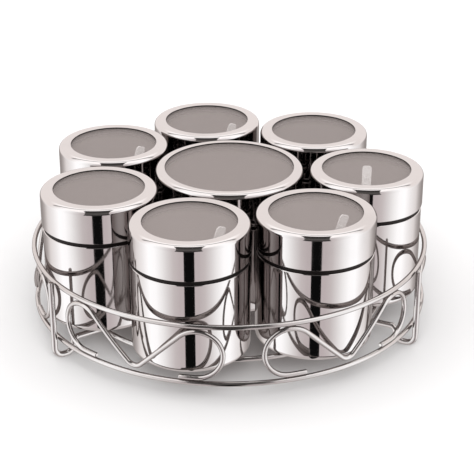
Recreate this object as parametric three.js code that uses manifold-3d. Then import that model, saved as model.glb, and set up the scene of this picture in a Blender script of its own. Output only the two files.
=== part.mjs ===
// Spice set: seven round steel jars around a larger one, in a bent-wire stand.
// Millimetres, +Z up. Angles on plan are measured from the front (-Y) towards +X.
import * as THREE from 'three';
import * as BufferGeometryUtils from 'three/addons/utils/BufferGeometryUtils.js';
import Module from 'manifold-3d';

const wasm = await Module();
wasm.setup();

const radians = THREE.MathUtils.degToRad;
const degrees = THREE.MathUtils.radToDeg;

// ---- driving dimensions ----

const clearance = 0.3;          // between pieces that touch
const jarTurn = 36.3;           // plan angle of the front right jar
const standTurn = 4;            // plan angle of the joint between the two front scrolls

const jar = {
  lidRadius: 35,
  windowRadius: 27.3,
  height: 79.8,                 // base to the top of the lid
  lidHeight: 21.3,
  neckGap: 2.5,                 // shadow gap between the lid's skirt and the shoulder
  bodyStep: 0.5,                // the lid stands out from the body by this much
  wall: 0.8,
  baseCorner: 4,
  lidCorner: 2.4,
  between: 3,                   // air between neighbouring lids
};
const centreJar = { betweenLids: 3.3, windowRim: 6.1 };
const window = { thickness: 2, lap: 2.7 };
const retainer = { thickness: 1.7, innerLap: 0.3 };

const wire = 3;                 // rings and scrolls
const legWire = 3.6;
const ringGap = 1;              // between the lids and the rings
const bottomRingHeight = 13.5;
const ringSpacing = 36;
const spokeHeight = 10.8;
const restRingOffset = 11.5;    // rest ring, outwards from the jar centres
const centreRestRadius = 24;

const foot = { width: 12.5, bend: 5.4, spokeEnd: 20 };
const scroll = { humpAngle: 17.6, valleyRise: 5.2, valleyBend: 6, tail: 10.5 };

const spoon = {
  tipBelowWindow: 2.1, lean: 18.5, tipRadius: 19, thickness: 1,
  bowlWidth: 17, bowlLength: 24, bowlDepth: 4.5,
  neckWidth: 3.4, tipWidth: 6, tipCorner: 1.7,
};

const ringJars = ['front_right', 'right', 'back_right', 'back', 'back_left', 'left', 'front_left'];
// Plan angles: where each spoon leans to, and how far its face is turned from the front.
const spoonPlaces = {
  front_right: { towards: 112, face: 25 },
  right: { towards: 173, face: 0 },
  back: { towards: 110, face: 25 },
  back_left: { towards: 114, face: 25 },
  front_left: { towards: 102, face: 25 },
};
const scrollPlaces = ['front_left', 'front_right', 'right', 'back_right', 'back_left', 'left'];
const legPlaces = ['left', 'right', 'back'];

const roundSegments = 20;
const ringSegments = 48;

// ---- values that follow ----

const jarCircle = (2 * jar.lidRadius + jar.between) / (2 * Math.sin(Math.PI / ringJars.length));
const centreLidRadius = jarCircle - jar.lidRadius - centreJar.betweenLids;
const ringRadius = jarCircle + jar.lidRadius + ringGap + wire / 2;
const topRingHeight = bottomRingHeight + ringSpacing;
const restRingHeight = spokeHeight + legWire / 2 + clearance + wire / 2;
const jarBase = restRingHeight + wire / 2 + clearance;

const lidBottom = jar.height - jar.lidHeight;
const shoulder = lidBottom - jar.neckGap;
const windowTop = jar.height - jar.wall - clearance;
const windowBottom = windowTop - window.thickness;
const retainerTop = windowBottom - clearance;
const retainerBottom = retainerTop - retainer.thickness;
const neckTop = retainerBottom - clearance;

const spoonLow = jar.wall + clearance;
const bowlDrop = spoon.bowlDepth * Math.sin(radians(spoon.lean));
const spoonRise = windowBottom - spoon.tipBelowWindow - spoonLow - bowlDrop;
const spoonLength = spoonRise / Math.cos(radians(spoon.lean));

// ---- materials ----

function steel(roughness) {
  return new THREE.MeshStandardMaterial({ color: 0xd8d4d2, metalness: 1, roughness });
}

const mirrorSteel = steel(0.06);
const wireSteel = steel(0.12);
const spoonSteel = steel(0.1);
const clearPlastic = new THREE.MeshStandardMaterial({
  color: 0x9b918c, metalness: 0, roughness: 0.08, transparent: true, opacity: 0.35,
});
const retainerPlastic = new THREE.MeshStandardMaterial({ color: 0x3a3a3c, metalness: 0, roughness: 0.5 });

// ---- helpers ----

// The point at a distance from the axis, at a plan angle and a height.
function placed(distance, turn, height) {
  const angle = radians(turn);
  return new THREE.Vector3(distance * Math.sin(angle), -distance * Math.cos(angle), height);
}

// Turns an outline of [distance from axis, height] points round the Z axis.
function turned(outline, segments) {
  const geometry = new THREE.LatheGeometry(outline.map(([r, z]) => new THREE.Vector2(r, z)), segments);
  return geometry.rotateX(Math.PI / 2);
}

// Points along an arc, from one angle to another in degrees.
function arc(centreX, centreY, radius, from, to, steps) {
  return Array.from({ length: steps + 1 }, (_, i) => {
    const angle = radians(from + ((to - from) * i) / steps);
    return [centreX + radius * Math.cos(angle), centreY + radius * Math.sin(angle)];
  });
}

// A wire's section with its flats at the wire's true thickness.
function wireSection(thickness, sides) {
  const reach = thickness / 2 / Math.cos(Math.PI / sides);
  return Array.from({ length: sides }, (_, i) => {
    const angle = (2 * Math.PI * (i + 0.5)) / sides;
    return [reach * Math.cos(angle), reach * Math.sin(angle)];
  });
}

function wireRing(radius, height, thickness, segments) {
  const section = wireSection(thickness, 8).map(([x, y]) => [radius + x, height + y]);
  return turned([...section, section[0]], segments);
}

// A curve through corner points, cut square across each corner's middle line.
class CorneredCurve extends THREE.Curve {
  constructor(points) {
    super();
    this.points = points;
    this.steps = points.length - 1;
  }

  getUtoTmapping(u) {
    return u;
  }

  getPoint(t, target = new THREE.Vector3()) {
    const i = Math.min(Math.floor(t * this.steps), this.steps - 1);
    return target.lerpVectors(this.points[i], this.points[i + 1], t * this.steps - i);
  }

  getTangent(t, target = new THREE.Vector3()) {
    const i = Math.round(t * this.steps);
    const here = this.points[i];
    const before = this.points[Math.max(i - 1, 0)];
    const after = this.points[Math.min(i + 1, this.steps)];
    target.subVectors(here, before).normalize();
    return target.add(after.clone().sub(here).normalize()).normalize();
  }
}

function bentWire(points, thickness, sides) {
  const curve = new CorneredCurve(points);
  const shape = new THREE.Shape(wireSection(thickness, sides).map(([x, y]) => new THREE.Vector2(x, y)));
  return new THREE.ExtrudeGeometry(shape, { steps: curve.steps, extrudePath: curve, bevelEnabled: false });
}

function solid(geometry) {
  const bare = geometry.clone();
  bare.deleteAttribute('normal');
  bare.deleteAttribute('uv');
  const merged = BufferGeometryUtils.mergeVertices(bare, 1e-4);
  return new wasm.Manifold(new wasm.Mesh({
    numProp: 3,
    vertProperties: new Float32Array(merged.attributes.position.array),
    triVerts: new Uint32Array(merged.index.array),
  }));
}

function joined(first, second) {
  const mesh = solid(first).add(solid(second)).getMesh();
  const geometry = new THREE.BufferGeometry();
  geometry.setAttribute('position', new THREE.BufferAttribute(mesh.vertProperties, 3));
  geometry.setIndex(new THREE.BufferAttribute(mesh.triVerts, 1));
  geometry.computeVertexNormals();
  return geometry;
}

function named(name, geometry, material) {
  const mesh = new THREE.Mesh(geometry, material);
  mesh.name = name;
  return mesh;
}

// ---- one jar: cup, lid shell, window and the ring that holds the window ----

function cupOutline(lidRadius) {
  const body = lidRadius - jar.bodyStep;
  const neck = lidRadius - jar.wall - clearance;
  const inner = jar.baseCorner - jar.wall;
  return [
    [0, 0],
    ...arc(body - jar.baseCorner, jar.baseCorner, jar.baseCorner, -90, 0, 1),
    [body, shoulder],
    [neck, shoulder],
    [neck, neckTop],
    [neck - jar.wall, neckTop],
    [neck - jar.wall, shoulder - jar.wall],
    [body - jar.wall, shoulder - jar.wall],
    ...arc(body - jar.baseCorner, jar.baseCorner, inner, 0, -90, 1),
    [0, jar.wall],
  ];
}

function lidOutline(lidRadius, windowRadius) {
  const outer = arc(lidRadius - jar.lidCorner, jar.height - jar.lidCorner, jar.lidCorner, 0, 90, 2);
  const inner = lidRadius - jar.wall;
  const insideTop = jar.height - jar.wall;
  return [
    [lidRadius, lidBottom],
    ...outer,
    [windowRadius, jar.height],
    [windowRadius, insideTop],
    [lidRadius - jar.lidCorner, insideTop],
    [inner, jar.height - jar.lidCorner],
    [inner, lidBottom],
    [lidRadius, lidBottom],
  ];
}

function windowOutline(windowRadius) {
  const radius = windowRadius + window.lap;
  return [[0, windowBottom], [radius, windowBottom], [radius, windowTop], [0, windowTop]];
}

function retainerOutline(lidRadius, windowRadius) {
  const outer = lidRadius - jar.wall - clearance;
  const inner = windowRadius + retainer.innerLap;
  return [
    [inner, retainerBottom], [outer, retainerBottom], [outer, retainerTop],
    [inner, retainerTop], [inner, retainerBottom],
  ];
}

function spoonGeometry() {
  const steps = 3;
  const outside = [];
  const inside = [];
  for (let i = 0; i <= steps; i += 1) {
    const share = i / steps;
    const sag = spoon.bowlDepth * (1 - share * share);
    outside.push(new THREE.Vector2((spoon.bowlWidth / 2) * share, -sag));
    inside.unshift(new THREE.Vector2((spoon.bowlWidth / 2 - spoon.thickness) * share,
      Math.min(spoon.thickness - sag, 0)));
  }
  const bowl = new THREE.LatheGeometry([...outside, ...inside], 12);
  bowl.scale(1, 1, spoon.bowlLength / spoon.bowlWidth);
  bowl.rotateZ(Math.PI);
  bowl.translate(0, 0, spoon.bowlLength / 2);

  const start = spoon.bowlLength - 1.5 * spoon.thickness;
  const side = spoon.tipWidth / 2;
  const cornerAt = [side - spoon.tipCorner, spoonLength - spoon.tipCorner];
  const outline = new THREE.Shape();
  outline.moveTo(-spoon.neckWidth / 2, start);
  outline.lineTo(spoon.neckWidth / 2, start);
  outline.lineTo(side, cornerAt[1]);
  outline.absarc(cornerAt[0], cornerAt[1], spoon.tipCorner, 0, Math.PI / 2, false);
  outline.absarc(-cornerAt[0], cornerAt[1], spoon.tipCorner, Math.PI / 2, Math.PI, false);
  const handle = new THREE.ExtrudeGeometry(outline, {
    depth: spoon.thickness, bevelEnabled: false, curveSegments: 2,
  });
  handle.rotateX(Math.PI / 2);
  handle.rotateZ(Math.PI);
  return joined(bowl, handle);
}

// The spoon stands on the jar's floor, leaning, with its tip a set distance from the axis.
function spoonMesh(name, place) {
  const mesh = named(name, spoonGeometry(), spoonSteel);
  const towards = radians(place.towards);
  const lean = radians(spoon.lean);
  const hinge = new THREE.Vector3(Math.cos(towards), Math.sin(towards), 0);
  const facing = new THREE.Quaternion().setFromAxisAngle(new THREE.Vector3(0, 0, 1), radians(place.face));
  mesh.quaternion.setFromAxisAngle(hinge, lean).multiply(facing);
  const lowest = new THREE.Box3().setFromObject(mesh, true).min.z;
  const footDistance = spoon.tipRadius - spoonLength * Math.sin(lean);
  mesh.position.copy(placed(footDistance, place.towards, spoonLow - lowest));
  return mesh;
}

function jarGroup(name, lidRadius, windowRadius) {
  const group = new THREE.Group();
  group.add(named(`${name}_jar_cup`, turned(cupOutline(lidRadius), roundSegments), mirrorSteel));
  const shell = turned(lidOutline(lidRadius, windowRadius), roundSegments);
  group.add(named(`${name}_lid_shell`, shell, mirrorSteel));
  group.add(named(`${name}_lid_window`, turned(windowOutline(windowRadius), roundSegments), clearPlastic));
  const ring = turned(retainerOutline(lidRadius, windowRadius), roundSegments);
  group.add(named(`${name}_window_retainer`, ring, retainerPlastic));
  if (name in spoonPlaces) group.add(spoonMesh(`${name}_spoon`, spoonPlaces[name]));
  return group;
}

// ---- the stand ----

// One scroll, as [along the rings, height]: a tail along the bottom ring, a loop and
// half of the valley, then the mirror of them.
function scrollOutline() {
  const low = bottomRingHeight + wire + clearance;
  const high = topRingHeight - wire - clearance;
  const loopRadius = (high - low) / 2;
  const loopHeight = (high + low) / 2;
  const along = ringRadius * radians(scroll.humpAngle);
  const valleyHeight = bottomRingHeight + scroll.valleyRise + scroll.valleyBend;
  const apart = Math.hypot(along, loopHeight - valleyHeight);
  const tilt = Math.atan2(valleyHeight - loopHeight, along);
  const slope = degrees(tilt + Math.acos((loopRadius + scroll.valleyBend) / apart));

  const loop = arc(-along, loopHeight, loopRadius, -90, slope - 360, 12);
  const valley = arc(0, valleyHeight, scroll.valleyBend, 180 + slope, 270, 2);
  const [loopEnd, valleyStart] = [loop.at(-1), valley[0]];
  const middle = [(loopEnd[0] + valleyStart[0]) / 2, (loopEnd[1] + valleyStart[1]) / 2];
  const half = [[scroll.tail - along, low], ...loop, middle, ...valley];
  const mirrored = half.slice(0, -1).reverse().map(([x, z]) => [-x, z]);
  return [...half, ...mirrored];
}

// One leg, as [distance from axis, height]: down outside both rings, round the foot,
// up inside the bottom ring, then in as a spoke.
function legOutline() {
  const outside = ringRadius + wire / 2 + clearance + legWire / 2;
  const inside = outside - foot.width;
  const low = legWire / 2 + foot.bend;
  const spokeBend = spokeHeight - low;
  return [
    [outside, topRingHeight + wire / 2],
    ...arc(outside - foot.bend, low, foot.bend, 0, -90, 3),
    ...arc(inside + foot.bend, low, foot.bend, -90, -180, 3),
    ...arc(inside - spokeBend, low, spokeBend, 0, 90, 3).slice(1),
    [foot.spokeEnd, spokeHeight],
  ];
}

function stand() {
  const group = new THREE.Group();
  const restRadius = jarCircle + restRingOffset;
  const ring = (name, radius, height, segments) => {
    group.add(named(name, wireRing(radius, height, wire, segments), wireSteel));
  };
  ring('stand_top_ring', ringRadius, topRingHeight, ringSegments);
  ring('stand_bottom_ring', ringRadius, bottomRingHeight, ringSegments);
  ring('jar_rest_ring', restRadius, restRingHeight, 2 * roundSegments);
  ring('centre_rest_ring', centreRestRadius, restRingHeight, roundSegments);

  scrollPlaces.forEach((place, i) => {
    const turn = standTurn + 60 * i - 30;
    const points = scrollOutline().map(([x, z]) => placed(ringRadius, turn + degrees(x / ringRadius), z));
    group.add(named(`scroll_wire_${place}`, bentWire(points, wire, 6), wireSteel));
  });
  [-60, 60, 180].forEach((turn, i) => {
    const points = legOutline().map(([r, z]) => new THREE.Vector3(r, 0, z));
    const leg = named(`stand_leg_${legPlaces[i]}`, bentWire(points, legWire, 8), wireSteel);
    leg.rotation.z = radians(standTurn + turn - 90);
    group.add(leg);
  });
  return group;
}

// ---- the whole set ----

const spiceSet = new THREE.Group();
spiceSet.add(stand());
ringJars.forEach((name, i) => {
  const group = jarGroup(name, jar.lidRadius, jar.windowRadius);
  group.position.copy(placed(jarCircle, jarTurn + (360 * i) / ringJars.length, jarBase));
  spiceSet.add(group);
});
const middle = jarGroup('centre', centreLidRadius, centreLidRadius - centreJar.windowRim);
middle.position.z = jarBase;
spiceSet.add(middle);

// The origin is in the middle of the base.
spiceSet.updateMatrixWorld(true);
const extent = new THREE.Box3().setFromObject(spiceSet);
const middleOfSet = extent.getCenter(new THREE.Vector3());
spiceSet.position.set(-middleOfSet.x, -middleOfSet.y, -extent.min.z);

export default spiceSet;
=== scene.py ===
import math

import bmesh
import bpy
from mathutils import Matrix, Vector


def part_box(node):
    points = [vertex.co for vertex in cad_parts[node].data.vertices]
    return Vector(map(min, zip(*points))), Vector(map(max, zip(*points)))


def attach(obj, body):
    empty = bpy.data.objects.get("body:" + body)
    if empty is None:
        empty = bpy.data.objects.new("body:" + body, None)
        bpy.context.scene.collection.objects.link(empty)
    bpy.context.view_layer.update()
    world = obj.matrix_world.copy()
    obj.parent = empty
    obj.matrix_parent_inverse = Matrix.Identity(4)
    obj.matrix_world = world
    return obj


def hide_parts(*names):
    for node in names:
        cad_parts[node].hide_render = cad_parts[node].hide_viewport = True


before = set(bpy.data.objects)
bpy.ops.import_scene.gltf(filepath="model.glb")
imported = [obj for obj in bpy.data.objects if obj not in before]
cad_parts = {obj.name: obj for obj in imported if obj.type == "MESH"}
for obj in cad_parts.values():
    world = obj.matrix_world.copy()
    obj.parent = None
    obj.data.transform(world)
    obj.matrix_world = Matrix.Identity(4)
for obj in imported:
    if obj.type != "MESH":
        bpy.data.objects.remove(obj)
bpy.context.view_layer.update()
ringJars = ["front_right", "right", "back_right", "back", "back_left", "left", "front_left"]
roundSides = 128


# places, read from the frame

def middleOf(node):
    low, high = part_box(node)
    return (low + high) / 2


def radiusOf(node):
    low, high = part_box(node)
    return (high.x - low.x) / 2


standAxis = middleOf("stand_top_ring")


def planTurn(point, axis):  # angle on plan, from the front towards +X
    return math.atan2(point.x - axis.x, axis.y - point.y)


def vertexMean(node):
    points = [v.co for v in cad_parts[node].data.vertices]
    return sum(points, Vector()) / len(points)


# modelling helpers

def deselect():
    bpy.ops.object.select_all(action="DESELECT")


def edit(piece):
    deselect()
    piece.select_set(True)
    bpy.context.view_layer.objects.active = piece
    bpy.ops.object.mode_set(mode="EDIT")


def pick(kind, test):
    bpy.ops.mesh.select_mode(type=kind)
    bpy.ops.mesh.select_all(action="DESELECT")
    data = bpy.context.edit_object.data
    mesh = bmesh.from_edit_mesh(data)
    parts = {"VERT": mesh.verts, "EDGE": mesh.edges, "FACE": mesh.faces}[kind]
    for part in parts:
        part.select_set(bool(test(part)))
    mesh.select_flush_mode()
    bmesh.update_edit_mesh(data)


def onLoop(vertex, radius, height):
    slack = 0.00002
    return abs(vertex.co.xy.length - radius) < slack and abs(vertex.co.z - height) < slack


def roundLoop(radius, height, size, segments=4):
    pick("EDGE", lambda edge: all(onLoop(v, radius, height) for v in edge.verts))
    bpy.ops.mesh.bevel(offset=size, segments=segments, profile=0.5, affect="EDGES")


def faceOutwards():
    bpy.ops.mesh.select_all(action="SELECT")
    bpy.ops.mesh.remove_doubles(threshold=0.000002)
    bpy.ops.mesh.normals_make_consistent(inside=False)


def polish(piece, angle=40):  # smooth shading that stays true on the flats
    bpy.ops.object.mode_set(mode="OBJECT")
    bpy.ops.object.shade_smooth_by_angle(angle=math.radians(angle))
    piece.modifiers.new("flats", "WEIGHTED_NORMAL").keep_sharp = True
    bpy.ops.object.modifier_apply(modifier="flats")
    return piece


# A round piece: the end face, or the open edge, is extruded and scaled from point to point.
def turnedPiece(name, outline, solid):
    deselect()
    radius, height = outline[0]
    bpy.ops.mesh.primitive_circle_add(vertices=roundSides, radius=radius, location=(0, 0, height),
                                      fill_type="NGON" if solid else "NOTHING")
    piece = bpy.context.object
    piece.name = name
    bpy.ops.object.transform_apply(location=True, rotation=True, scale=True)
    edit(piece)
    bpy.ops.mesh.select_mode(type="FACE" if solid else "EDGE")
    bpy.ops.mesh.select_all(action="SELECT")
    for nextRadius, nextHeight in outline[1:]:
        rise = (0, 0, nextHeight - height)
        bpy.ops.mesh.extrude_region_move(TRANSFORM_OT_translate={"value": rise})
        ratio = nextRadius / radius
        bpy.ops.transform.resize(value=(ratio, ratio, 1), center_override=(0, 0, 0))
        radius, height = nextRadius, nextHeight
    if not solid:
        ends = [outline[0], outline[-1]]
        pick("EDGE", lambda edge: any(all(onLoop(v, *end) for v in edge.verts) for end in ends))
        bpy.ops.mesh.bridge_edge_loops()
    faceOutwards()
    return piece


def copyTo(model, name, place, turn=0.0):
    deselect()
    model.select_set(True)
    bpy.context.view_layer.objects.active = model
    bpy.ops.object.duplicate(linked=False)
    piece = bpy.context.object
    piece.name = name
    piece.data.name = name
    piece.location = place
    piece.rotation_euler = (0, 0, turn)
    bpy.ops.object.transform_apply(location=True, rotation=True, scale=True)
    return piece


def hand(piece, node, body):
    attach(piece, body)
    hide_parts(node)


# shader maths: a wire is a socket that takes part in sums

class Wire:
    def __init__(self, shader, socket):
        self.shader = shader
        self.socket = socket

    def __add__(self, other):
        return self.shader.maths("ADD", self, other)

    def __radd__(self, other):
        return self.shader.maths("ADD", other, self)

    def __sub__(self, other):
        return self.shader.maths("SUBTRACT", self, other)

    def __rsub__(self, other):
        return self.shader.maths("SUBTRACT", other, self)

    def __mul__(self, other):
        return self.shader.maths("MULTIPLY", self, other)

    def __truediv__(self, other):
        return self.shader.maths("DIVIDE", self, other)


class Shader:
    def __init__(self, owner):
        owner.use_nodes = True
        self.tree = owner.node_tree
        self.tree.nodes.clear()

    def node(self, kind, settings=None, sockets=None, out=0):
        made = self.tree.nodes.new(kind)
        for name, value in (settings or {}).items():
            if name == "stops":
                self.setStops(made.color_ramp, value)
            else:
                setattr(made, name, value)
        for key, value in (sockets or {}).items():
            if isinstance(value, Wire):
                self.tree.links.new(value.socket, made.inputs[key])
            else:
                made.inputs[key].default_value = value
        if isinstance(out, tuple):
            return [Wire(self, made.outputs[key]) for key in out]
        return Wire(self, made.outputs[out]) if len(made.outputs) else None

    def setStops(self, ramp, stops):
        while len(ramp.elements) < len(stops):
            ramp.elements.new(0.5)
        for element, (place, colour) in zip(ramp.elements, stops):
            element.position = place
            element.color = (*colour, 1)

    def maths(self, operation, *values):
        return self.node("ShaderNodeMath", {"operation": operation}, dict(enumerate(values)))

    def rise(self, value, start, end):  # 0 before start, 1 after end
        return self.node("ShaderNodeMapRange", {"interpolation_type": "SMOOTHSTEP"},
                         {0: value, 1: start, 2: end, 3: 0.0, 4: 1.0})

    def fall(self, value, start, end):  # 1 before start, 0 after end
        return 1 - self.rise(value, start, end)

    def blend(self, share, first, second, kind="MIX"):
        colours = [value if isinstance(value, Wire) else (*value, 1) for value in (first, second)]
        return self.node("ShaderNodeMix", {"data_type": "RGBA", "blend_type": kind},
                         {0: share, 6: colours[0], 7: colours[1]}, out=2)

    def place(self, scale=(1, 1, 1)):
        here = self.node("ShaderNodeTexCoord", out="Object")
        return self.node("ShaderNodeMapping", {}, {"Vector": here, "Scale": scale})

    def noise(self, place, scale, detail=3.0, roughness=0.5):
        return self.node("ShaderNodeTexNoise", {},
                         {"Vector": place, "Scale": scale, "Detail": detail, "Roughness": roughness})

    def bump(self, height, strength, distance):
        return self.node("ShaderNodeBump", {},
                         {"Height": height, "Strength": strength, "Distance": distance})

    def surface(self, sockets):
        shade = self.node("ShaderNodeBsdfPrincipled", {}, sockets)
        self.node("ShaderNodeOutputMaterial", {}, {"Surface": shade})


# materials

steelFinish = {
    "jar": {"tint": (0.90, 0.875, 0.87), "roughness": 0.035, "ripple": 0.05, "smudge": 0.05},
    "inside": {"tint": (0.74, 0.70, 0.685), "roughness": 0.34, "ripple": 0.08, "smudge": 0.08},
    "lid": {"tint": (0.91, 0.885, 0.88), "roughness": 0.035, "ripple": 0.05, "smudge": 0.05},
    "wire": {"tint": (0.81, 0.785, 0.775), "roughness": 0.10, "ripple": 0.10, "smudge": 0.08},
    # near-black: the band in the gap under each lid, and painted shade on the cut edge round each window
    "neck": {"tint": (0.035, 0.031, 0.030), "roughness": 0.42, "ripple": 0.10, "smudge": 0.10},
    "spoon": {"tint": (0.97, 0.965, 0.96), "roughness": 0.5, "ripple": 0.10, "smudge": 0.0,
              "metallic": 0.15},                          # painted highlight: near-white and mostly diffuse, so the satin spoon reads pale at every angle
}
steelGrain = {                                            # noise scales are per metre
    "wiped": 60, "wipedRoughness": 0.03,
    "handled": 22, "handledEdge": (0.52, 0.74), "handledShade": 0.9, "handledShare": 0.6,
    "drawn": (40, 40, 2600), "drawnHeight": 0.02,         # fine lines round the piece
    "ripple": 35, "bumpDepth": 0.0004,
}


def steelMaterial(name):
    finish = steelFinish[name]
    grain = steelGrain
    material = bpy.data.materials.new(name + "_steel")
    shader = Shader(material)
    here = shader.place()
    wiped = shader.noise(here, grain["wiped"], 4.0, 0.6)
    handled = shader.rise(shader.noise(here, grain["handled"]), *grain["handledEdge"])
    lines = shader.noise(shader.place(grain["drawn"]), 1.0, 2.0)
    darker = tuple(grain["handledShade"] * part for part in finish["tint"])
    height = shader.noise(here, grain["ripple"], 1.0) + lines * grain["drawnHeight"]
    roughness = finish["roughness"] + handled * finish["smudge"] + wiped * grain["wipedRoughness"]
    shader.surface({
        "Base Color": shader.blend(handled * grain["handledShare"], finish["tint"], darker),
        "Metallic": finish.get("metallic", 1.0),
        "Roughness": roughness,
        "Normal": shader.bump(height, finish["ripple"], grain["bumpDepth"]),
    })
    return material


windowFinish = {
    "tint": (0.53, 0.46, 0.44), "alpha": 0.24, "roughness": 0.05, "index": 1.49,
    "haze": 30, "hazeShade": 0.92, "hazeRoughness": 0.02, "hazeAlpha": 0.04,
    "hazeBump": 0.05, "bumpDepth": 0.0003,
    "scuffs": (300, 90, 90), "scuffEdge": (0.6, 0.8), "scuffRoughness": 0.06,
}


def windowMaterial():
    finish = windowFinish
    material = bpy.data.materials.new("smoky_window_plastic")
    shader = Shader(material)
    haze = shader.noise(shader.place(), finish["haze"], 3.0)
    scratched = shader.noise(shader.place(finish["scuffs"]), 4.0, 5.0, 0.7)
    scuffs = shader.rise(scratched, *finish["scuffEdge"])
    darker = tuple(finish["hazeShade"] * part for part in finish["tint"])
    roughness = finish["roughness"] + scuffs * finish["scuffRoughness"]
    shader.surface({
        "Base Color": shader.blend(haze, finish["tint"], darker),
        "Roughness": roughness + haze * finish["hazeRoughness"],
        "Alpha": finish["alpha"] + haze * finish["hazeAlpha"],
        "IOR": finish["index"],
        "Normal": shader.bump(haze, finish["hazeBump"], finish["bumpDepth"]),
    })
    return material


retainerFinish = {
    "dark": (0.035, 0.034, 0.035), "light": (0.055, 0.053, 0.053), "grain": 900,
    "roughness": 0.42, "spread": 0.16, "bump": 0.25, "bumpDepth": 0.0001,
}


def retainerMaterial():
    finish = retainerFinish
    material = bpy.data.materials.new("retainer_satin_plastic")
    shader = Shader(material)
    grain = shader.noise(shader.place(), finish["grain"], 3.0, 0.6)
    shader.surface({
        "Base Color": shader.blend(grain, finish["dark"], finish["light"]),
        "Roughness": finish["roughness"] + grain * finish["spread"],
        "Normal": shader.bump(grain, finish["bump"], finish["bumpDepth"]),
    })
    return material


floorFinish = {                                           # reaches are metres from the middle
    "shade": (0.40, 0.38, 0.375), "paintedShadowReach": (0.055, 0.115),     # painted shadow, deeper under the stand
    "near": (0.625, 0.62, 0.62), "nearMottled": (0.645, 0.64, 0.64),
    # far: painted light, paler further out so the far floor reads white where the lamps reach less
    "far": (0.76, 0.755, 0.755), "paintedLightReach": (0.12, 0.30),
    "mottle": 3.0, "roughness": 0.8, "spread": 0.1, "specular": 0.2,
}


def floorMaterial():
    finish = floorFinish
    material = bpy.data.materials.new("pale_floor")
    shader = Shader(material)
    here = shader.place()
    mottle = shader.noise(here, finish["mottle"], 2.0)
    outward = shader.node("ShaderNodeVectorMath", {"operation": "LENGTH"}, {0: here}, out="Value")
    colour = shader.blend(mottle, finish["near"], finish["nearMottled"])
    # painted shadow: darker towards the middle, under the stand
    colour = shader.blend(shader.rise(outward, *finish["paintedShadowReach"]), finish["shade"], colour)
    # painted light: paler further from the middle
    colour = shader.blend(shader.rise(outward, *finish["paintedLightReach"]), colour, finish["far"])
    shader.surface({
        "Base Color": colour,
        "Roughness": finish["roughness"] + mottle * finish["spread"],
        "Specular IOR Level": finish["specular"],
    })
    return material


steels = {name: steelMaterial(name) for name in steelFinish}
windowPlastic = windowMaterial()
retainerPlastic = retainerMaterial()
print("materials made")


# one jar: cup, lid shell, window and retaining ring, about the Z axis at their real heights

jarShape = {
    "wall": 0.0008, "gap": 0.0003, "neckGap": 0.0025, "neckBand": 0.0035,
    "baseCorner": 0.004, "lidCorner": 0.0034, "windowLap": 0.0027,
    "rimRound": 0.00035, "shoulderRound": 0.0006, "recess": 0.0003, "recessRim": 0.0055,
    "lipWidth": 0.0009, "lipDrop": 0.0001,
    "cutRound": 0.00015, "windowRound": 0.0004, "retainerRound": 0.0003,
}


def giveFinishes(piece, names, choose):  # choose says which finish a face has
    for name in names:
        piece.data.materials.append(steels[name])
    polish(piece)
    for face in piece.data.polygons:
        face.material_index = names.index(choose(face))
    return piece


def makeCup(prefix):
    wall = jarShape["wall"]
    low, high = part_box(prefix + "_jar_cup")
    body = radiusOf(prefix + "_jar_cup")
    neck = radiusOf(prefix + "_lid_shell") - wall - jarShape["gap"]
    base, rim = low.z, high.z
    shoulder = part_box(prefix + "_lid_shell")[0].z - jarShape["neckGap"]
    bandTop = shoulder + jarShape["neckBand"]             # near-black band, its top hidden by the lid
    cup = turnedPiece(prefix + "_cup_model", [
        (body, base), (body, shoulder), (neck, shoulder), (neck, bandTop), (neck, rim),
        (neck - wall, rim),
        (neck - wall, shoulder - wall), (body - wall, shoulder - wall), (body - wall, base + wall),
    ], solid=True)
    pick("FACE", lambda face: face.normal.z < -0.9 and abs(face.calc_center_median().z - base) < 0.0001)
    bpy.ops.mesh.inset(thickness=jarShape["recessRim"])
    bpy.ops.mesh.inset(thickness=3 * jarShape["recess"])
    bpy.ops.transform.translate(value=(0, 0, jarShape["recess"]))
    roundLoop(body, base, jarShape["baseCorner"], 10)
    roundLoop(body - wall, base + wall, jarShape["baseCorner"] - wall, 8)
    roundLoop(body, shoulder, jarShape["shoulderRound"], 5)
    roundLoop(neck, rim, jarShape["rimRound"])
    roundLoop(neck - wall, rim, jarShape["rimRound"])

    def finishOf(face):
        inward = Vector((face.center.x, face.center.y, 0)).dot(face.normal) < 0
        onFloor = face.normal.z > 0.5 and face.center.z < shoulder - 2 * wall
        onNeck = face.center.z > bandTop
        if inward or onFloor or onNeck:
            return "inside"
        return "neck" if face.center.z > shoulder + 0.00005 else "jar"

    return giveFinishes(cup, ["jar", "inside", "neck"], finishOf)


def makeLid(prefix):
    wall = jarShape["wall"]
    low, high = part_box(prefix + "_lid_shell")
    outer = radiusOf(prefix + "_lid_shell")
    opening = radiusOf(prefix + "_lid_window") - jarShape["windowLap"]
    lip = opening + jarShape["lipWidth"]
    lid = turnedPiece(prefix + "_lid_model", [
        (outer, low.z), (outer, high.z), (lip, high.z), (opening, high.z - jarShape["lipDrop"]),
        (opening, high.z - wall), (outer - wall, high.z - wall), (outer - wall, low.z),
    ], solid=False)
    roundLoop(outer, high.z, jarShape["lidCorner"], 12)
    roundLoop(outer - wall, high.z - wall, jarShape["lidCorner"] - wall, 6)
    for radius, height in ((outer, low.z), (outer - wall, low.z)):
        roundLoop(radius, height, jarShape["rimRound"])
    roundLoop(lip, high.z, 0.8 * jarShape["lipWidth"], 6)
    for height in (high.z - jarShape["lipDrop"], high.z - wall):
        roundLoop(opening, height, jarShape["cutRound"], 2)

    def finishOf(face):  # painted shade: the cut edge round the window gets the near-black finish
        fromCut = abs(Vector((face.center.x, face.center.y)).length - opening)
        return "neck" if fromCut < 0.0001 and abs(face.normal.z) < 0.5 else "lid"

    return giveFinishes(lid, ["lid", "neck"], finishOf)


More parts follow.
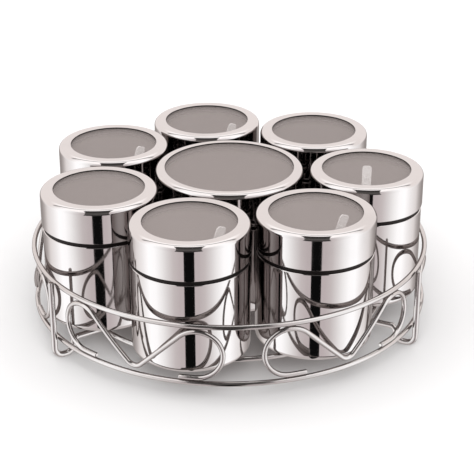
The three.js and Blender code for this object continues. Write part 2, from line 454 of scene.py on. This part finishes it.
def makeWindow(prefix):
    low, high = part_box(prefix + "_lid_window")
    radius = radiusOf(prefix + "_lid_window")
    pane = turnedPiece(prefix + "_window_model", [(radius, low.z), (radius, high.z)], solid=True)
    for height in (low.z, high.z):
        roundLoop(radius, height, jarShape["windowRound"], 3)
    pane.data.materials.append(windowPlastic)
    return polish(pane)


def makeRetainer(prefix):
    low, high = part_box(prefix + "_window_retainer")
    outer = radiusOf(prefix + "_window_retainer")
    inner = radiusOf(prefix + "_lid_window") - jarShape["windowLap"] + jarShape["gap"]
    ring = turnedPiece(prefix + "_retainer_model", [
        (outer, low.z), (outer, high.z), (inner, high.z), (inner, low.z),
    ], solid=False)
    for radius in (outer, inner):
        for height in (low.z, high.z):
            roundLoop(radius, height, jarShape["retainerRound"], 3)
    ring.data.materials.append(retainerPlastic)
    return polish(ring)


# maker, then how the piece, node and body names end, then the slot
jarPieces = [
    (makeCup, "_cup", "_jar_cup", "_jar", "jar_steel"),
    (makeLid, "_lid", "_lid_shell", "_lid", "lid_steel"),
    (makeWindow, "_window", "_lid_window", "_lid", "window_plastic"),
    (makeRetainer, "_retainer", "_window_retainer", "_lid", "retainer_plastic"),
]


def placeJars():
    for names in (ringJars, ["centre"]):
        shape = names[0]
        for make, ending, node, body, slot in jarPieces:
            model = make(shape)
            for jar in names:
                axis = middleOf(jar + "_lid_shell")
                piece = copyTo(model, jar + ending, (axis.x, axis.y, 0))
                hand(piece, jar + node, jar + body)
            bpy.data.objects.remove(model)


placeJars()
print("jars placed")


# a small spoon, shaped flat along X with its bowl hanging, then stood up and leant in the jar

spoonShape = {
    "bowlWidth": 0.017, "bowlLength": 0.024, "bowlDepth": 0.0045, "bowlFrom": 14, "bowlTo": 168,
    "shank": 0.0015, "neckWidth": 0.0034, "tipWidth": 0.006, "thickness": 0.001,
    "taper": 0.8, "bowlRows": 11, "handleRows": 22, "columns": 8,
    "tipCorner": 0.0017, "tipRows": ((0.3, 0.42), (0, 0.24)),       # corners back, share of width
    "lean": 18.5, "tipRadius": 0.019, "tipBelowWindow": 0.0021,
    "panelEnds": (0.016, 0.0022), "panelWidth": 0.62, "panelDepth": 0.00022,  # back from the tip
    "leafEnds": (0.014, 0.003), "leafWidth": 0.7, "leafInset": 0.0002, "leafRise": 1.4,
}
spoonPlaces = {                                           # leans towards, face turned by
    "front_right": (112, 25), "right": (173, 0), "back": (110, 25),
    "back_left": (114, 25), "front_left": (102, 25),
}


def spoonFloor(jar):
    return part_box(jar + "_jar_cup")[0].z + jarShape["wall"] + jarShape["gap"]


def spoonLength(jar):
    lean = math.radians(spoonShape["lean"])
    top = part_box(jar + "_lid_window")[0].z - spoonShape["tipBelowWindow"]
    drop = spoonShape["bowlDepth"] * math.sin(lean)
    return (top - spoonFloor(jar) - drop) / math.cos(lean)


def makeSpoon(length):
    shape = spoonShape
    halfLength = shape["bowlLength"] / 2
    rows = []                                             # place along, half width, sag
    sweep = shape["bowlTo"] - shape["bowlFrom"]           # degrees round the bowl's outline
    for i in range(shape["bowlRows"]):
        angle = math.radians(shape["bowlFrom"] + sweep * i / (shape["bowlRows"] - 1))
        halfWidth = shape["bowlWidth"] / 2 * math.sin(angle)
        along = halfLength * (1 - math.cos(angle))
        rows.append((along, halfWidth, shape["bowlDepth"] * math.sin(angle) ** 2))
    start = rows[-1][0] + shape["shank"]
    tipStart = length - shape["tipCorner"]
    for i in range(shape["handleRows"]):
        share = i / (shape["handleRows"] - 1)
        width = shape["neckWidth"] + (shape["tipWidth"] - shape["neckWidth"]) * share ** shape["taper"]
        rows.append((start + (tipStart - start) * share, width / 2, 0))
    for back, share in shape["tipRows"]:
        rows.append((length - back * shape["tipCorner"], share * shape["tipWidth"], 0))

    deselect()
    bpy.ops.mesh.primitive_grid_add(x_subdivisions=len(rows) - 1, y_subdivisions=shape["columns"], size=2)
    spoon = bpy.context.object
    edit(spoon)
    aside = 2                                             # shaped rows wait here, clear of the others
    places = [-1 + 2 * i / (len(rows) - 1) for i in range(len(rows))]
    for place, (along, halfWidth, sag) in reversed(list(zip(places, rows))):
        pick("VERT", lambda v: abs(v.co.x - place) < 0.001)
        bpy.ops.transform.resize(value=(1, halfWidth, 1), center_override=(0, 0, 0))
        bpy.ops.transform.translate(value=(aside + along - place, 0, 0))
        if sag:
            for k in range(shape["columns"] // 2 + 1):
                offset = 2 * k / shape["columns"]
                drop = sag * (1 - offset * offset)
                pick("VERT", lambda v: abs(v.co.x - aside - along) < 0.00001 and
                     abs(abs(v.co.y) - offset * halfWidth) < 0.00001)
                bpy.ops.transform.translate(value=(0, 0, -drop))
    bpy.ops.mesh.select_all(action="SELECT")
    bpy.ops.transform.translate(value=(-aside, 0, 0))

    def onPanel(face, ends, reach):
        middle = face.calc_center_median()
        return length - ends[0] < middle.x < length - ends[1] and abs(middle.y) < reach

    # a pressed panel near the tip, with a row of raised leaves along it
    reach = shape["panelWidth"] * shape["tipWidth"] / 2
    pick("FACE", lambda f: onPanel(f, shape["panelEnds"], reach))
    bpy.ops.transform.translate(value=(0, 0, -shape["panelDepth"]))
    step = (tipStart - start) / (shape["handleRows"] - 1)
    pick("FACE", lambda f: onPanel(f, shape["leafEnds"], shape["leafWidth"] * reach) and
         int((f.calc_center_median().x - start) / step) % 2 == 0)
    bpy.ops.mesh.inset(thickness=shape["leafInset"], use_individual=True)
    bpy.ops.transform.translate(value=(0, 0, shape["leafRise"] * shape["panelDepth"]))
    bpy.ops.object.mode_set(mode="OBJECT")

    thicken = spoon.modifiers.new("thickness", "SOLIDIFY")
    thicken.thickness = shape["thickness"]
    thicken.offset = -1
    soften = spoon.modifiers.new("soften", "SUBSURF")
    soften.levels = 2
    soften.render_levels = 2
    for modifier in ("thickness", "soften"):
        bpy.ops.object.modifier_apply(modifier=modifier)
    edit(spoon)
    faceOutwards()
    spoon.data.materials.append(steels["spoon"])
    polish(spoon, 60)
    return spoon


def placeSpoons():
    jars = list(spoonPlaces)
    length = spoonLength(jars[0])
    model = makeSpoon(length)
    lean = math.radians(spoonShape["lean"])
    upright = Matrix.Rotation(-math.pi / 2, 4, "Y")
    for jar in jars:
        towards, face = (math.radians(turn) for turn in spoonPlaces[jar])
        hinge = Vector((math.cos(towards), math.sin(towards), 0))
        facing = Matrix.Rotation(face + math.pi / 2, 4, "Z")
        spoon = copyTo(model, jar + "_small_spoon", (0, 0, 0))
        spoon.matrix_world = Matrix.Rotation(lean, 4, hinge) @ facing @ upright
        bpy.ops.object.transform_apply(location=True, rotation=True, scale=True)
        axis = middleOf(jar + "_lid_shell")
        out = spoonShape["tipRadius"] - length * math.sin(lean)
        low = min(v.co.z for v in spoon.data.vertices)
        spoon.location = (axis.x + out * math.sin(towards), axis.y - out * math.cos(towards),
                          spoonFloor(jar) - low)
        bpy.ops.object.transform_apply(location=True, rotation=True, scale=True)
        hand(spoon, jar + "_spoon", jar + "_spoon")
    bpy.data.objects.remove(model)


placeSpoons()
print("spoons placed")


# the stand: rings, legs and scrolls of round wire

wireShape = {
    "sides": 20, "ringSteps": 240, "weldTurn": 200, "weldSwell": 1.09, "weldReach": 0.9,
    "legThickness": 0.0036, "gap": 0.0003, "footWidth": 0.0125, "footBend": 0.0054,
    "spokeEnd": 0.020, "endRound": 0.0006,
}
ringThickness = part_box("stand_top_ring")[1].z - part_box("stand_top_ring")[0].z
ringRadius = radiusOf("stand_top_ring") - ringThickness / 2
rings = {
    "top_ring": "stand_top_ring", "bottom_ring": "stand_bottom_ring",
    "rest_ring": "jar_rest_ring", "centre_ring": "centre_rest_ring",
}


def makeRing(name, node):
    low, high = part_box(node)
    thickness = high.z - low.z
    radius = radiusOf(node) - thickness / 2
    centre = middleOf(node)
    deselect()
    bpy.ops.mesh.primitive_torus_add(
        major_segments=wireShape["ringSteps"], minor_segments=wireShape["sides"],
        major_radius=radius, minor_radius=thickness / 2)
    ring = bpy.context.object
    ring.name = name
    edit(ring)
    turn = math.radians(wireShape["weldTurn"])            # the butt weld that closes the ring
    weld = Vector((radius * math.sin(turn), -radius * math.cos(turn), 0))
    pick("VERT", lambda v: (v.co - weld).length < wireShape["weldReach"] * thickness)
    swell = wireShape["weldSwell"]
    bpy.ops.transform.resize(value=(swell, swell, swell), center_override=weld)
    faceOutwards()
    ring.data.materials.append(steels["wire"])
    polish(ring, 80)
    ring.location = centre
    bpy.ops.object.transform_apply(location=True, rotation=True, scale=True)
    hand(ring, node, "stand")


def startWire(thickness, place, heading):
    deselect()
    tilt = (0, math.pi / 2, 0) if heading == "X" else (0, 0, 0)
    bpy.ops.mesh.primitive_circle_add(vertices=wireShape["sides"], radius=thickness / 2,
                                      fill_type="NGON", location=place, rotation=tilt)
    piece = bpy.context.object
    bpy.ops.object.transform_apply(location=True, rotation=True, scale=True)
    edit(piece)
    bpy.ops.mesh.select_mode(type="FACE")
    bpy.ops.mesh.select_all(action="SELECT")
    return piece


def runStraight(x, z, steps):
    for _ in range(steps):
        move = (x / steps, 0, z / steps)
        bpy.ops.mesh.extrude_region_move(TRANSFORM_OT_translate={"value": move})


def runBend(centreX, centreZ, degreesLeft):  # turns left as seen with +X right and +Z up
    steps = max(4, round(abs(degreesLeft) / 6))
    bpy.ops.mesh.spin(steps=steps, angle=math.radians(abs(degreesLeft)), center=(centreX, 0, centreZ),
                      axis=(0, 1 if degreesLeft > 0 else -1, 0))


def roundEnds(ends, thickness):
    reach = 0.6 * thickness
    pick("FACE", lambda f: len(f.verts) > 4 and
         any((f.calc_center_median() - end).length < reach for end in ends))
    bpy.ops.mesh.region_to_loop()
    bpy.ops.mesh.bevel(offset=wireShape["endRound"], segments=3, profile=0.5, affect="EDGES")


def makeLegs():
    thickness = wireShape["legThickness"]
    bend = wireShape["footBend"]
    outside = ringRadius + ringThickness / 2 + wireShape["gap"] + thickness / 2
    inside = outside - wireShape["footWidth"]
    low = thickness / 2 + bend
    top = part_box("stand_leg_left")[1].z
    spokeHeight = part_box("jar_rest_ring")[0].z - wireShape["gap"] - thickness / 2
    spokeBend = spokeHeight - low
    leg = startWire(thickness, (outside, 0, top), "Z")
    runStraight(0, low - top, 8)
    runBend(outside - bend, low, -90)
    runStraight(2 * bend - wireShape["footWidth"], 0, 2)
    runBend(inside + bend, low, -90)
    runBend(inside - spokeBend, low, 90)
    runStraight(wireShape["spokeEnd"] - inside + spokeBend, 0, 12)
    faceOutwards()
    roundEnds([Vector((outside, 0, top)), Vector((wireShape["spokeEnd"], 0, spokeHeight))], thickness)
    leg.data.materials.append(steels["wire"])
    polish(leg, 60)
    for side in ("left", "right", "back"):
        turn = planTurn(vertexMean("stand_leg_" + side), standAxis) - math.pi / 2
        piece = copyTo(leg, "leg_" + side, (standAxis.x, standAxis.y, 0), turn)
        hand(piece, "stand_leg_" + side, "stand")
    bpy.data.objects.remove(leg)


scrollShape = {"humpAngle": 17.6, "valleyRise": 0.0052, "valleyBend": 0.006, "tail": 0.0105}
scrollPlaces = ["front_left", "front_right", "right", "back_right", "back_left", "left"]


def makeScrolls():
    thickness = ringThickness
    low = middleOf("stand_bottom_ring").z + thickness + wireShape["gap"]
    high = middleOf("stand_top_ring").z - thickness - wireShape["gap"]
    loop = (high - low) / 2
    loopHeight = (high + low) / 2
    bend = scrollShape["valleyBend"]
    along = ringRadius * math.radians(scrollShape["humpAngle"])
    valleyHeight = middleOf("stand_bottom_ring").z + scrollShape["valleyRise"] + bend
    apart = math.hypot(along, loopHeight - valleyHeight)
    slope = math.atan2(valleyHeight - loopHeight, along) + math.acos((loop + bend) / apart)
    run = math.sqrt(apart ** 2 - (loop + bend) ** 2)

    # half of it, from the bottom of the valley up and round the loop to its tail
    scroll = startWire(thickness, (0, 0, valleyHeight - bend), "X")
    runBend(0, valleyHeight, -(90 - math.degrees(slope)))
    runStraight(-run * math.sin(slope), run * math.cos(slope), 5)
    runBend(-along, loopHeight, 270 - math.degrees(slope))
    runStraight(scrollShape["tail"], 0, 4)
    faceOutwards()
    roundEnds([Vector((scrollShape["tail"] - along, 0, low))], thickness)
    pick("FACE", lambda f: abs(f.calc_center_median().x) < 0.000001 and len(f.verts) > 4)
    bpy.ops.mesh.delete(type="FACE")
    bpy.ops.object.mode_set(mode="OBJECT")
    other = scroll.modifiers.new("other half", "MIRROR")
    other.use_axis[0] = True
    other.merge_threshold = 0.00001                       # only the seam, not the tight bend
    bpy.ops.object.modifier_apply(modifier="other half")
    width = 2 * max(v.co.x for v in scroll.data.vertices)
    wrap = scroll.modifiers.new("round the stand", "SIMPLE_DEFORM")
    wrap.deform_method = "BEND"
    wrap.deform_axis = "Z"
    wrap.angle = width / ringRadius
    bpy.ops.object.modifier_apply(modifier="round the stand")
    scroll.location = (0, -ringRadius, 0)
    bpy.ops.object.transform_apply(location=True, rotation=True, scale=True)
    edit(scroll)
    faceOutwards()
    scroll.data.materials.append(steels["wire"])
    polish(scroll, 60)
    for side in scrollPlaces:
        turn = planTurn(vertexMean("scroll_wire_" + side), standAxis)
        piece = copyTo(scroll, "scroll_" + side, (standAxis.x, standAxis.y, 0), turn)
        hand(piece, "scroll_wire_" + side, "stand")
    bpy.data.objects.remove(scroll)


for name, node in rings.items():
    makeRing(name, node)
makeLegs()
makeScrolls()
print("stand made")


# floor, light and camera

deselect()
bpy.ops.mesh.primitive_plane_add(size=8)
floor = bpy.context.object
floor.name = "floor"
floor.data.materials.append(floorMaterial())
floor.visible_glossy = False

# Angles are degrees. A pair of them is an edge: the change starts at one and is done at the other.
studio = {
    "backdrop": (1.17, 1.165, 1.165),                     # what the camera sees behind the piece
    "soft": (1.30, 1.29, 1.29),                           # what lights dull surfaces
    "second": (0.25, 0.23, 0.225),                        # share kept by a second mirroring
    "above": (1.12, 1.08, 1.07), "aboveEdge": (34, 52),
    "behind": (0.85, 0.79, 0.77), "behindEdge": (-14, -2), "behindSide": (70, 110),
    "below": (0.50, 0.46, 0.45), "belowEdge": (-62, -38),
    "slit": (0.004, 0.004, 0.004), "slitSide": (9.5, 10.1),         # gap between the front panels
    "hood": (0.045, 0.041, 0.040), "hoodLow": -15, "hoodHigh": 82, "hoodWide": 0.42,
    "hoodNarrow": 0.29, "lowFade": 0.5, "highFade": 1, "sideFade": 0.01,
    "sheen": (0.09, 0.083, 0.08), "sheenFrom": (6, 14), "sheenTo": (30, 42),
    "seamFrom": (101, 103), "seamTo": (110, 116), "seamReach": (0.78, 0.93), "seamShare": 0.75,
    "round": [                                            # degrees from the front, radiance
        (0, (0.54, 0.475, 0.48)), (17, (0.54, 0.48, 0.485)), (29, (0.60, 0.55, 0.55)),
        (41, (0.75, 0.72, 0.72)), (53, (0.93, 0.92, 0.92)), (67, (1.10, 1.10, 1.11)),
        (81, (1.13, 1.13, 1.14)), (97, (0.94, 0.92, 0.92)), (116, (0.78, 0.74, 0.73)),
        (130, (0.48, 0.44, 0.43)), (144, (0.32, 0.29, 0.28)), (180, (0.34, 0.31, 0.30)),
    ],
}


# Mirrors see bright panels at the sides and above, a dim far side and grey below. A dark hood
# reaches over the front, with a slit under it, and a fainter seam crosses the top behind it.
def lightWorld():
    world = bpy.data.worlds.new("studio")
    bpy.context.scene.world = world
    shader = Shader(world)
    direction = shader.node("ShaderNodeTexCoord", out="Generated")
    x, y, z = shader.node("ShaderNodeSeparateXYZ", {}, {0: direction}, out=("X", "Y", "Z"))
    side = shader.maths("ABSOLUTE", x)                    # sine of the angle to either side
    azimuth = shader.maths("ARCTAN2", side, 0 - y) * math.degrees(1)
    height = shader.maths("ARCSINE", z) * math.degrees(1)
    tilt = shader.maths("ARCTAN2", z, 0 - y) * math.degrees(1)      # over the top, from the front

    stops = [(degrees / 180, colour) for degrees, colour in studio["round"]]
    colour = shader.node("ShaderNodeValToRGB", {"stops": stops}, {0: azimuth / 180})
    colour = shader.blend(shader.fall(height, *studio["belowEdge"]), colour, studio["below"])
    behind = shader.rise(height, *studio["behindEdge"]) * shader.rise(azimuth, *studio["behindSide"])
    colour = shader.blend(behind, colour, studio["behind"])
    colour = shader.blend(shader.rise(height, *studio["aboveEdge"]), colour, studio["above"])

    seam = shader.rise(tilt, *studio["seamFrom"]) * shader.fall(tilt, *studio["seamTo"])
    seam = seam * shader.fall(side, *studio["seamReach"]) * studio["seamShare"]
    colour = shader.blend(seam, colour, studio["hood"])

    low, high = studio["hoodLow"], studio["hoodHigh"]
    lowEdge = (low - studio["lowFade"], low + studio["lowFade"])
    highEdge = (high - studio["highFade"], high + studio["highFade"])
    slit = shader.fall(azimuth, *studio["slitSide"]) * shader.fall(tilt, *lowEdge)
    colour = shader.blend(slit, colour, studio["slit"])
    taper = (studio["hoodWide"] - studio["hoodNarrow"]) / (high - low)
    reach = studio["hoodWide"] - (tilt - low) * taper
    hood = shader.fall(side - reach, -studio["sideFade"], studio["sideFade"])
    hood = hood * shader.rise(tilt, *lowEdge) * shader.fall(tilt, *highEdge)
    sheen = shader.rise(tilt, *studio["sheenFrom"]) * shader.fall(tilt, *studio["sheenTo"])
    colour = shader.blend(hood, colour, shader.blend(sheen, studio["hood"], studio["sheen"]))

    rays = ("Is Camera Ray", "Is Glossy Ray", "Glossy Depth")
    camera, glossy, depth = shader.node("ShaderNodeLightPath", out=rays)
    again = shader.maths("GREATER_THAN", depth, 1.5)      # mirrored in one piece, then another
    colour = shader.blend(again, colour, studio["second"], "MULTIPLY")
    plain = shader.blend(camera, studio["soft"], studio["backdrop"])
    shown = shader.blend(glossy, plain, colour)
    glow = shader.node("ShaderNodeBackground", {}, {"Color": shown, "Strength": 1.0})
    shader.node("ShaderNodeOutputWorld", {}, {"Surface": glow})


def addCamera():
    view = {"lens": 105.6, "elevation": 25.12, "distance": 0.8751, "aim": (0.00472, 0, 0.04756)}
    tilt = math.radians(view["elevation"])
    aim = Vector(view["aim"]) + Vector((0, standAxis.y, 0))
    back = Vector((0, -math.cos(tilt), math.sin(tilt))) * view["distance"]
    bpy.ops.object.camera_add(location=aim + back, rotation=(math.pi / 2 - tilt, 0, 0))
    camera = bpy.context.object
    camera.data.lens = view["lens"]
    camera.data.clip_start = 0.05
    bpy.context.scene.camera = camera


softLights = [                                            # place, turn, size, watts
    ((-0.35, -0.25, 1.1), (0.2, -0.3, 0), 1.2, 1.5),
    ((0.1, -1.15, 0.9), (math.radians(52), 0, 0), 1.0, 12.5),
]


def addLights():
    for place, turn, size, watts in softLights:
        bpy.ops.object.light_add(type="AREA", location=place, rotation=turn)
        light = bpy.context.object
        light.data.shape = "DISK"
        light.data.size = size
        light.data.energy = watts
        light.visible_glossy = False


lightWorld()
addLights()
addCamera()
bpy.context.scene.view_settings.view_transform = "Standard"
print("studio lit")
